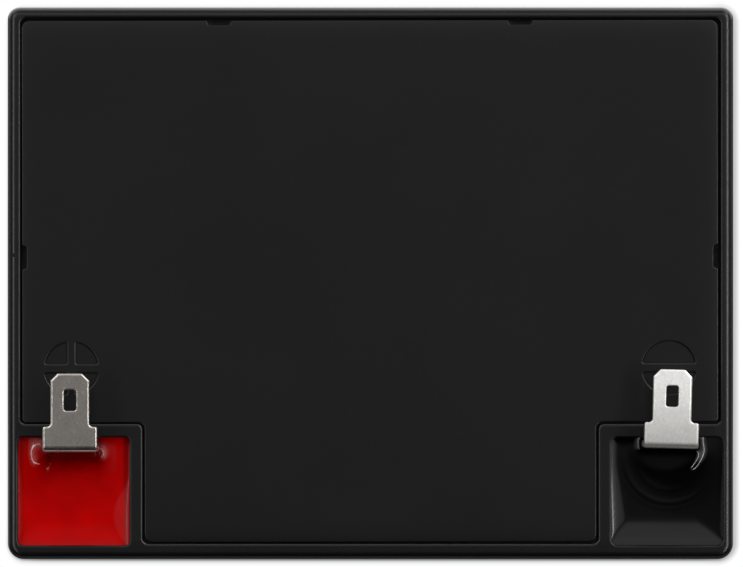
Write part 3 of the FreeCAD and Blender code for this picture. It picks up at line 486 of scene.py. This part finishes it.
def pool(name, side, tab, turn, corner, stuff, shape):
    """One well's resin as a closed mesh: a height field with the leg's hole in it."""
    x0, x1 = sorted((side * WALL_IN, side * WALL_OUT))
    y0, y1 = WALL_FRONT, WALL_REAR
    tx, ty = tab
    half = LEG_WIDE / 2
    xs = np.concatenate(
        [
            steps(x0, tx - half, 0.05, 0.15),
            steps(tx - half, tx + half, 0.08, 0.16)[1:],
            steps(tx + half, x1, 0.05, 0.15)[1:],
        ]
    )
    ys = np.concatenate(
        [
            steps(y0, ty, 0.05, 0.15),
            steps(ty, ty + LEG_THICK, 0.1, 0.16)[1:],
            steps(ty + LEG_THICK, y1, 0.05, 0.12)[1:],
        ]
    )
    ia = int(np.argmin(abs(xs - (tx - half))))
    ib = int(np.argmin(abs(xs - (tx + half))))
    ja = int(np.argmin(abs(ys - ty)))
    jb = int(np.argmin(abs(ys - (ty + LEG_THICK))))
    gx, gy = np.meshgrid(xs, ys, indexing="ij")
    # turn the grid with the leg, fading out at the walls
    wall = np.minimum.reduce([gx - x0, x1 - gx, gy - y0, y1 - gy])
    w = np.clip(wall / 0.4, 0, 1)
    w = w * w * (3 - 2 * w)
    c, s = math.cos(math.radians(turn)), math.sin(math.radians(turn))
    dx, dy = gx - tx, gy - ty
    gx = gx + w * (c * dx - s * dy - dx)
    gy = gy + w * (s * dx + c * dy - dy)
    # round the corners of the well
    for sx, cx in ((-1, x0 + corner), (1, x1 - corner)):
        for sy, cy in ((-1, y0 + corner), (1, y1 - corner)):
            u, v = sx * (gx - cx) / corner, sy * (gy - cy) / corner
            inside = (u > 0) & (v > 0)
            gx = np.where(
                inside, cx + sx * corner * u * np.sqrt(1 - np.minimum(v, 1) ** 2 / 2), gx
            )
            gy = np.where(
                inside, cy + sy * corner * v * np.sqrt(1 - np.minimum(u, 1) ** 2 / 2), gy
            )
    # the same points in the leg's own directions, from the middle of its front face
    lx = c * (gx - tx) + s * (gy - ty)
    ly = -s * (gx - tx) + c * (gy - ty)
    top = shape(gx, gy, lx, ly, (x0, x1, y0, y1))
    # underside: over the well's floor, the terminal's foot and the post's head
    foot = np.maximum(abs(lx) - half, np.maximum(-8.7 - ly, ly - LEG_THICK))
    rounded = np.hypot(np.maximum(abs(lx) - 0.075, 0), np.maximum(-5.4 - ly, 0)) - 3.3
    foot = np.where(ly < -5.4, np.maximum(foot, rounded), foot)
    low = np.where(foot < 0.02, FOOT_Z, FLOOR_Z)
    head = np.hypot(lx, ly + 5.3) - 2.8
    low = np.where(head < 0.05, HEAD_Z + 0.01, low)
    nx, ny = len(xs), len(ys)
    count = nx * ny
    verts = np.concatenate(
        [
            np.stack([gx, gy, top], -1).reshape(-1, 3),
            np.stack([gx, gy, low], -1).reshape(-1, 3),
        ]
    )

    def at(i, j):
        return i * ny + j

    faces = []
    hole = lambda i, j: ia <= i < ib and ja <= j < jb
    for i in range(nx - 1):
        for j in range(ny - 1):
            if hole(i, j):
                continue
            q = (at(i, j), at(i + 1, j), at(i + 1, j + 1), at(i, j + 1))
            faces.append(q)
            faces.append(tuple(count + k for k in reversed(q)))
    ring = (
        [(i, 0) for i in range(nx)]
        + [(nx - 1, j) for j in range(1, ny)]
        + [(i, ny - 1) for i in range(nx - 2, -1, -1)]
        + [(0, j) for j in range(ny - 2, 0, -1)]
    )
    inner = (
        [(i, ja) for i in range(ia, ib + 1)]
        + [(ib, j) for j in range(ja + 1, jb + 1)]
        + [(i, jb) for i in range(ib - 1, ia - 1, -1)]
        + [(ia, j) for j in range(jb - 1, ja, -1)]
    )
    for loop, outward in ((ring, True), (inner, False)):
        for a, b in zip(loop, loop[1:] + loop[:1]):
            a, b = at(*a), at(*b)
            q = (a + count, b + count, b, a) if outward else (b + count, a + count, a, b)
            faces.append(q)
    used = np.unique(np.array(faces).ravel())
    order = np.full(2 * count, -1)
    order[used] = np.arange(len(used))
    mesh = bpy.data.meshes.new(name)
    mesh.from_pydata(
        (verts[used] * MM).tolist(), [], [tuple(int(order[k]) for k in f) for f in faces]
    )
    mesh.update()
    mesh.polygons.foreach_set("use_smooth", [True] * len(mesh.polygons))
    mesh.set_sharp_from_angle(angle=math.radians(40))
    mesh.materials.append(stuff)
    obj = bpy.data.objects.new(name, mesh)
    scene.collection.objects.link(obj)
    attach(obj, "root")
    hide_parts(name.replace("resin", "potting"))
    return obj


def creep(distance, reach):
    return np.exp(-np.maximum(distance, 0) / reach)


def blend(v, a, b):
    t = np.clip((v - a) / (b - a), 0, 1)
    return t * t * (3 - 2 * t)


def collar(lx, ly, left, right, reach_left, reach_right):
    """Resin drawn up round the leg, thicker in front of it, with a fine ripple where
    it set in steps."""
    end = 0.56
    ox = np.maximum(abs(lx) - (LEG_WIDE / 2 - end), 0)
    oy = np.maximum(abs(ly + 0.225) - (0.575 - end), 0)
    d = np.maximum(np.hypot(ox, oy) - end, 0)
    # high beside the leg, low in front of it
    beside = 1 - (1 - ox / np.maximum(np.hypot(ox, oy), 0.001)) ** 2.5
    high = 0.42 + (np.where(lx < 0, left, right) - 0.42) * beside
    reach = 0.8 + (np.where(lx < 0, reach_left, reach_right) - 0.8) * beside
    z = high * np.exp(-d / reach)
    ripple = np.sin(2 * math.pi * d / 0.52) * np.exp(-d / 0.9) * np.clip(d / 0.3, 0, 1)
    return z + 0.0065 * ripple, d


def climb(walls):
    """Resin drawn up the four walls, with mitred corners. For each wall: distance,
    slope and width of the lean, height and reach of the lip at the wall itself."""
    soft, blunt = 0.2, 0.02
    total = 0
    for distance, slope, width, lip, reach in walls:
        lean = soft * np.log1p(np.exp(np.clip((width - distance) / soft, -40, 40)))
        z = slope * lean + lip * np.exp(-np.maximum(distance, 0) / reach)
        total = total + np.exp(z / blunt)
    return blunt * np.log(total / 4)


def red_surface(x, y, lx, ly, walls):
    x0, x1, y0, y1 = walls
    near = blend(-y, 23.6, 28.4)
    z = 99.62 + climb(
        (
            (x - x0, 0.12, 1.6, 0.05, 0.3),
            (x1 - x, 0.2, 0.1 + 2.1 * near, 0.06, 0.3),
            (y - y0, 0.1, 2.8, 0.04, 0.4),
            (y1 - y, 0.1, 1.2, 0.08, 0.4),
        )
    )
    rise, d = collar(lx, ly, 1.3, 0.5, 1.3, 0.8)
    # a terrace at the left, where the skin catches the light
    left = blend(-lx, 1.0, 3.0)
    z = z + rise + left * 0.0047 * np.cos(7.0 * (d - 1.58)) * np.exp(
        -(((d - 1.58) / 0.45) ** 2)
    )
    r = np.hypot(lx, ly + 0.6)
    z = z + 0.006 * np.exp(-(((r - 5.4) / 0.4) ** 2)) * np.clip(-ly / 1.5, 0, 1)
    return z


def black_surface(x, y, lx, ly, walls):
    x0, x1, y0, y1 = walls
    near = blend(-y, 21.0, 32.0)
    z = 99.6 + climb(
        (
            (x - x0, 0.155, 1.1 + 1.1 * near, 0.03 + 0.05 * near, 0.34),
            (x1 - x, 0.11, 3.3, 0.03, 0.3),
            (y - y0, 0.15, 3.3, 0.04, 0.3),
            (y1 - y, 0.1, 1.0, 0.08, 0.4),
        )
    )
    # a low mound in front of the leg, and the skin drawn up the leg itself
    m = (np.hypot((lx + 0.2) / 4.2, (ly + 0.3) / 3.2) - 1) * 3.6
    right = blend(lx, -3.6, 4.8)
    past = 0.2 * np.log1p(np.exp(np.clip(m / 0.2, -40, 40)))
    z = z + (0.09 + 0.28 * right) / (1 + np.exp(np.clip(m / 0.25, -40, 40)))
    z = z + (0.1 + 0.38 * right) * np.exp(-past / 2.1)
    ox = np.maximum(abs(lx) - LEG_WIDE / 2, 0)
    oy = np.maximum(np.maximum(-ly, ly - LEG_THICK), 0)
    z = z + 0.35 * np.exp(-np.hypot(ox, oy) / 0.3)
    # set in steps, which left rings in front of the leg, clearer at the left
    r = np.hypot(lx - 0.1, ly + 1.3)
    turned = (-0.6 * (lx - 0.1) - 0.8 * (ly + 1.3)) / np.maximum(r, 0.1)
    strong = np.clip(0.35 + 0.75 * turned, 0.05, 1) * np.clip(-ly / 1.5, 0, 1)
    for at, wide, high in ((4.0, 0.3, 0.014), (5.6, 0.3, 0.026), (6.3, 0.25, 0.008)):
        z = z + high * strong * np.exp(-(((r - at) / wide) ** 2))
    return z


pool("resin_positive", -1, (-37.1, -20.9), 0.0, 0.6, red, red_surface)
pool("resin_negative", 1, (37.1, -20.4), -1.5, 0.85, black, black_surface)


# --------------------------------------------------------------------- stage
def floor_material():
    """Pale floor, overexposed, with a narrow painted shadow where the block would keep light off."""
    m, k = material("studio_floor")
    c = k.add("ShaderNodeTexCoord")
    split = k.add("ShaderNodeSeparateXYZ")
    k.link(c.outputs["Object"], split.inputs["Vector"])
    x = k.math("MULTIPLY", split.outputs["X"], 1000.0)
    y = k.math("MULTIPLY", split.outputs["Y"], 1000.0)
    # distance outside the block's outline as the camera sees it, corners rounded
    u = k.math("MAXIMUM", k.math("SUBTRACT", k.math("ABSOLUTE", x), 48.0), 0.0)
    v = k.math("MAXIMUM", k.math("SUBTRACT", k.math("ABSOLUTE", y), 36.0), 0.0)
    uu, vv = k.math("POWER", u, 2.0), k.math("POWER", v, 2.0)
    outside = k.math("SUBTRACT", k.math("SQRT", k.math("ADD", uu, vv)), 2.2)
    # how far it lies beside the block and before or behind it
    u = k.math("MAXIMUM", k.math("SUBTRACT", k.math("ABSOLUTE", x), 43.0), 0.0)
    v = k.math("MAXIMUM", k.math("SUBTRACT", k.math("ABSOLUTE", y), 32.2), 0.0)
    uu, vv = k.math("POWER", u, 4.0), k.math("POWER", v, 4.0)
    both = k.math("MAXIMUM", k.math("ADD", uu, vv), 0.000001)
    # painted shadow, darkest right against the block
    reach = k.math("POWER", both, 0.25)
    close = k.remap(reach, 1.7, 5.7, 1.0, 0.0)
    flank = k.math("DIVIDE", uu, both)
    end = k.math("DIVIDE", vv, both)
    right = k.math("GREATER_THAN", x, 0.0)
    front = k.math("LESS_THAN", y, 0.0)

    def shade(distance, stops, reach):
        t = k.math("DIVIDE", distance, reach)
        return k.ramp(t, [(p, (v, v, v)) for p, v in stops])

    on_right = shade(outside, [(0.0, 0.44), (0.3, 0.42), (0.6, 0.22), (0.85, 0.06), (1.0, 0.0)], 1.08)
    on_left = shade(outside, [(0.0, 0.3), (0.4, 0.12), (1.0, 0.0)], 0.5)
    in_front = shade(
        outside,
        [(0.0, 0.85), (0.17, 0.64), (0.3, 0.36), (0.45, 0.2), (0.62, 0.11), (0.8, 0.04), (1.0, 0.0)],
        1.1,
    )
    in_rear = shade(outside, [(0.0, 0.25), (0.4, 0.08), (1.0, 0.0)], 0.6)
    beside = k.math("MULTIPLY", k.mix(right, on_left, on_right), flank)
    along = k.math("MULTIPLY", k.mix(front, in_rear, in_front), end)
    total = k.math("ADD", beside, along)
    deeper = k.math("MULTIPLY", k.math("SUBTRACT", 0.93, total), close)
    total = k.math("ADD", total, deeper)
    bright = k.math("MULTIPLY", k.math("SUBTRACT", 1.0, total), 1.02)
    path = k.add("ShaderNodeLightPath")
    shown = k.add("ShaderNodeEmission")
    shown.inputs["Color"].default_value = (1, 1, 1, 1)
    k.link(bright, shown.inputs["Strength"])
    real = k.add("ShaderNodeBsdfDiffuse")
    # painted shade: in reflections the floor's colour is darker towards the front
    grey = k.remap(y, -140.0, -20.0, 0.12, 0.35)
    k.link(k.mix(grey, (0, 0, 0), (1, 1, 1)), real.inputs["Color"])
    # painted light: the floor glows behind the block, and a little in front
    glow = k.add("ShaderNodeEmission")
    glow.inputs["Color"].default_value = (1, 1, 1, 1)
    rear = k.remap(y, 55.0, 85.0, 0.0, 2.1)
    far_front = k.remap(y, -900.0, -350.0, 0.5, 0.0)
    near_front = k.math(
        "MULTIPLY",
        k.remap(y, -125.0, -45.0, 0.0, 0.5, smooth=False),
        k.math("LESS_THAN", y, -20.0),
    )
    total = k.math("ADD", rear, k.math("ADD", far_front, near_front))
    k.link(total, glow.inputs["Strength"])
    lit = k.add("ShaderNodeAddShader")
    k.link(real.outputs["BSDF"], lit.inputs[0])
    k.link(glow.outputs["Emission"], lit.inputs[1])
    mixed = k.add("ShaderNodeMixShader")
    out = k.add("ShaderNodeOutputMaterial")
    k.link(path.outputs["Is Camera Ray"], mixed.inputs["Fac"])
    k.link(lit.outputs["Shader"], mixed.inputs[1])
    k.link(shown.outputs["Emission"], mixed.inputs[2])
    k.link(mixed.outputs["Shader"], out.inputs["Surface"])
    return m


mesh = bpy.data.meshes.new("studio_floor")
far = 30.0
mesh.from_pydata(
    [(-far, -far, 0), (far, -far, 0), (far, far, 0), (-far, far, 0)], [], [(0, 1, 2, 3)]
)
floor = bpy.data.objects.new("studio_floor", mesh)
floor.data.materials.append(floor_material())
scene.collection.objects.link(floor)

# surroundings: white to the camera; in reflections a pale strip along the horizon
# behind and beside the object, and a dark room in front
world = bpy.data.worlds.new("studio")
scene.world = world
world.use_nodes = True
k = Nodes(world.node_tree)
coord = k.add("ShaderNodeTexCoord")
split = k.add("ShaderNodeSeparateXYZ")
k.link(coord.outputs["Generated"], split.inputs["Vector"])
height = split.outputs["Z"]
depth = split.outputs["Y"]
side = k.math("ABSOLUTE", split.outputs["X"])
# along the depth: dark in front, dim overhead, brighter behind, bright at the horizon
run = k.ramp(
    k.math("MULTIPLY_ADD", depth, 0.5, 0.5),
    [
        (0.0, (0.02, 0.02, 0.02)),
        (0.08, (0.003, 0.003, 0.003)),
        (0.38, (0.003, 0.003, 0.003)),
        (0.45, (0.06, 0.06, 0.06)),
        (0.5, (0.17, 0.17, 0.17)),
        (0.56, (0.26, 0.26, 0.26)),
        (0.605, (0.55, 0.55, 0.55)),
        (0.64, (1.0, 1.0, 1.0)),
        (0.72, (0.9, 0.9, 0.9)),
        (0.8, (0.4, 0.4, 0.4)),
        (0.92, (0.3, 0.3, 0.3)),
    ],
)
run = k.math("MULTIPLY", run, k.remap(side, 0.25, 0.55, 1.0, 0.15))
behind = k.math(
    "MULTIPLY", k.remap(depth, 0.35, 0.85, 0.0, 1.8), k.remap(height, 0.08, 0.34, 1.0, 0.0)
)
band = k.remap(height, 0.1, 0.5, 0.13, 0.0)
beside = k.math("MULTIPLY", band, k.remap(depth, -0.75, -0.25, 0.0, 1.0))
ahead = k.math(
    "MULTIPLY", k.remap(depth, -0.95, -0.6, 0.5, 0.0), k.remap(height, 0.03, 0.15, 1.0, 0.0)
)
# soft glow from both sides, stronger from the right
sideways = k.ramp(
    k.math("MULTIPLY_ADD", split.outputs["X"], 0.5, 0.5),
    [
        (0.0, (0.0, 0.0, 0.0)),
        (0.075, (0.08, 0.08, 0.08)),
        (0.15, (0.5, 0.5, 0.5)),
        (0.21, (1.2, 1.2, 1.2)),
        (0.24, (1.45, 1.45, 1.45)),
        (0.275, (1.0, 1.0, 1.0)),
        (0.325, (0.6, 0.6, 0.6)),
        (0.36, (0.35, 0.35, 0.35)),
        (0.39, (0.0, 0.0, 0.0)),
        (0.61, (0.0, 0.0, 0.0)),
        (0.64, (0.35, 0.35, 0.35)),
        (0.675, (0.65, 0.65, 0.65)),
        (0.725, (1.6, 1.6, 1.6)),
        (0.76, (2.4, 2.4, 2.4)),
        (0.79, (2.0, 2.0, 2.0)),
        (0.85, (0.8, 0.8, 0.8)),
        (0.925, (0.15, 0.15, 0.15)),
        (1.0, (0.0, 0.0, 0.0)),
    ],
)
sideways = k.math(
    "MULTIPLY",
    sideways,
    k.math(
        "MULTIPLY",
        k.remap(depth, -0.5, -0.15, 0.0, 1.0),
        k.remap(height, 0.1, 0.45, 0.3, 1.0),
    ),
)
glow = k.math("ADD", run, k.math("ADD", behind, beside))
glow = k.math("ADD", glow, k.math("ADD", sideways, ahead))
lean = k.remap(split.outputs["X"], -0.15, 0.15, 1.02, 1.22)
glow = k.math("MULTIPLY", glow, lean)
path = k.add("ShaderNodeLightPath")
seen = k.add("ShaderNodeBackground")
seen.inputs["Color"].default_value = (1, 1, 1, 1)
seen.inputs["Strength"].default_value = 1.02
room = k.add("ShaderNodeBackground")
room.inputs["Color"].default_value = (1, 1, 1, 1)
k.link(glow, room.inputs["Strength"])
mixed = k.add("ShaderNodeMixShader")
out = k.add("ShaderNodeOutputWorld")
k.link(path.outputs["Is Camera Ray"], mixed.inputs["Fac"])
k.link(room.outputs["Background"], mixed.inputs[1])
k.link(seen.outputs["Background"], mixed.inputs[2])
k.link(mixed.outputs["Shader"], out.inputs["Surface"])

TARGET = Vector((0, 0, 0.101))


def softbox(name, place, wide, high, radiance, aim=TARGET):
    """Area light whose face has the given radiance. wide lies level."""
    data = bpy.data.lights.new(name, "AREA")
    data.shape = "RECTANGLE"
    data.size, data.size_y = wide, high
    data.energy = radiance * math.pi * wide * high
    obj = bpy.data.objects.new(name, data)
    scene.collection.objects.link(obj)
    obj.location = place
    obj.rotation_mode = "QUATERNION"
    z = (Vector(place) - aim).normalized()
    if abs(z.z) > 0.999:
        x = Vector((1, 0, 0))
    else:
        x = Vector((0, 0, 1)).cross(z).normalized()
    y = z.cross(x)
    turn = Matrix((x, y, z)).transposed()
    obj.rotation_quaternion = turn.to_quaternion()
    obj.visible_camera = False
    return obj


def polar(zenith, azimuth, distance):
    """Point seen from the lid at that angle from straight up; azimuth 0 is +X."""
    a, b = math.radians(zenith), math.radians(azimuth)
    return TARGET + distance * Vector(
        (math.sin(a) * math.cos(b), math.sin(a) * math.sin(b), math.cos(a))
    )


softbox("left_strip", polar(33, 188, 1.0), 1.2, 0.035, 12.0)
softbox("right_strip", polar(33, -8, 1.0), 1.2, 0.035, 21.0)

# -------------------------------------------------------------------- camera
cam_data = bpy.data.cameras.new("camera")
cam_data.sensor_fit = "HORIZONTAL"
cam_data.sensor_width = 36.0
cam_data.lens = 343.1
cam_data.clip_start, cam_data.clip_end = 0.01, 100
camera = bpy.data.objects.new("camera", cam_data)
scene.collection.objects.link(camera)
camera.location = (0.000124, -0.000025, 0.981)
camera.rotation_euler = (0, 0, 0)
scene.camera = camera

scene.view_settings.view_transform = "Standard"
scene.view_settings.look = "None"
scene.view_settings.exposure = 0.0
scene.view_settings.gamma = 1.0
